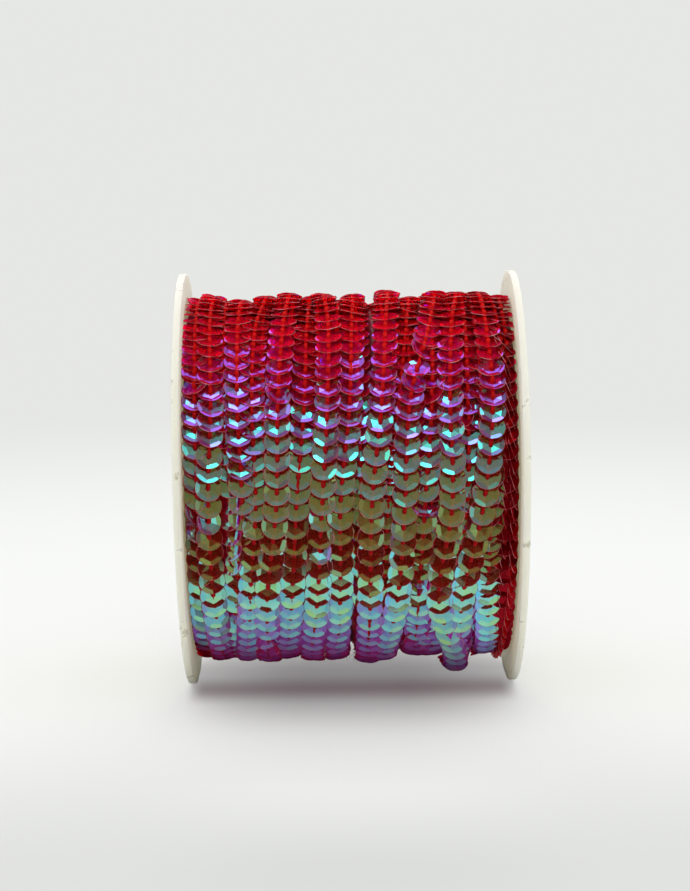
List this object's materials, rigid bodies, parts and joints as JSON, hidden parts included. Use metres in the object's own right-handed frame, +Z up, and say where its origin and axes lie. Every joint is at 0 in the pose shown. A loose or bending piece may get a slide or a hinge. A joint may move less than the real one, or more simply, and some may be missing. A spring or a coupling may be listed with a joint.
{
  "type": "roll of sequin trim",
  "caption": "Plastic reel with two round flanges, wound with a string of overlapping red sequins with a rainbow sheen. It stands on a flat spot of each rim.",
  "frame": {"origin": "on the floor, under the middle of the roll", "axes": "+X along the reel's bore, +Z up, the front with the slack turn at its lower right faces -Y"},
  "size_m": [0.078, 0.096, 0.0956],
  "materials": {
    "reel_plastic": "cream, slightly translucent, satin",
    "sequin_film": "red transparent film with a rainbow coating that turns from olive green to turquoise and violet",
    "thread": "bright red twisted thread"
  },
  "bodies": {
    "root": {"reel_left": "reel_plastic", "reel_right": "reel_plastic", "roll": "sequin_film"}
  },
  "joints": []
}
